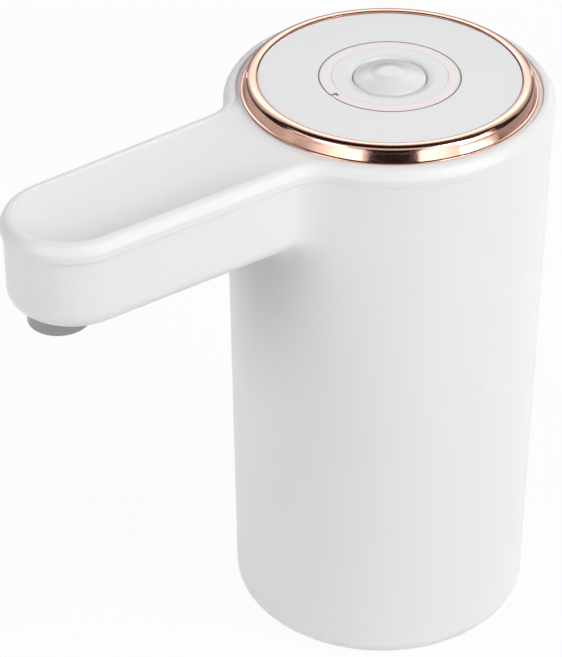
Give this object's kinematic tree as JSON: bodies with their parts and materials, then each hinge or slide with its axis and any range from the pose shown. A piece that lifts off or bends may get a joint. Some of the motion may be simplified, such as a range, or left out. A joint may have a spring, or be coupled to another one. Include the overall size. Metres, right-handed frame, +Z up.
{
  "type": "bottled water pump",
  "caption": "Battery water pump that stands on a large bottle's neck, with a tapered round housing, a flat arm and spout, and a push button in a ringed top.",
  "frame": {"origin": "centre of the base rim, on the housing's axis, in the plane that the housing stands on", "axes": "+Z up along the housing's axis, the arm and spout run along -Y, +X to the right seen from behind the arm"},
  "size_m": [0.0726, 0.1349, 0.1375],
  "materials": {
    "white_shell": "satin moulded, white",
    "white_panel": "satin moulded, pale",
    "rose_metal": "plated, rose gold",
    "dark_trim": "dark plated line",
    "light_guide": "diffusing, faintly pink",
    "grey_plastic": "moulded, light grey",
    "inner_white": "moulded, white",
    "pump_plastic": "moulded, natural",
    "gear_plastic": "moulded, ivory",
    "steel": "bright",
    "core_iron": "laminated",
    "magnet": "sintered, dark",
    "copper": "enamelled copper",
    "bronze": "sintered",
    "carbon": "carbon",
    "terminal_metal": "tinned",
    "black_plastic": "moulded, black",
    "silicone": "clear white silicone",
    "board_green": "solder mask",
    "led_white": "lens",
    "cell_wrap": "shrink sleeve",
    "lead_red": "insulation"
  },
  "bodies": {
    "pump_body": {"body_shell": "white_shell", "top_cover": "white_shell", "top_panel": "white_panel", "accent_ring": "rose_metal", "light_ring_trim": "dark_trim", "light_ring": "light_guide", "outlet_nozzle": "grey_plastic", "base_cup": "inner_white", "chassis": "inner_white", "pump_housing": "pump_plastic", "pump_cover": "pump_plastic", "idler_pin": "steel", "motor_can": "steel", "board_screws": "steel", "chassis_screws": "steel", "pump_screws": "steel", "motor_screws": "steel", "nozzle_screws": "steel", "charge_socket": "steel", "field_magnets": "magnet", "front_bushing": "bronze", "rear_bushing": "bronze", "motor_brushes": "carbon", "motor_terminals": "terminal_metal", "motor_end_cap": "black_plastic", "tact_switch": "black_plastic", "outlet_hose": "silicone", "neck_gasket": "silicone", "pump_gasket": "silicone", "inlet_seal": "silicone", "nozzle_seal": "silicone", "shaft_seal": "silicone", "control_board": "board_green", "status_leds": "led_white", "battery_cell": "cell_wrap", "motor_leads": "lead_red", "battery_leads": "lead_red"},
    "button": {"button_cap": "white_panel", "switch_plunger": "black_plastic"},
    "rotor": {"drive_shaft": "steel", "drive_gear": "gear_plastic", "armature_core": "core_iron", "armature_windings": "copper", "commutator": "copper"},
    "idler": {"idler_gear": "gear_plastic"}
  },
  "joints": [
    {"name": "button_press", "type": "slide", "parent": "pump_body", "child": "button", "axis": [0, 0, -1], "range_m": [0, 0.0006], "stiffness_N_per_m": 1500},
    {"name": "rotor_spin", "type": "hinge", "parent": "pump_body", "child": "rotor", "pos_m": [-0.0077, -0.00526, 0.06], "axis": [0, 0, 1], "continuous": true},
    {"name": "idler_spin", "type": "hinge", "parent": "pump_body", "child": "idler", "pos_m": [0.0077, -0.00526, 0.047], "axis": [0, 0, 1], "continuous": true}
  ],
  "couplings": [
    {"joint": "idler_spin", "follows": "rotor_spin", "ratio": -1}
  ]
}
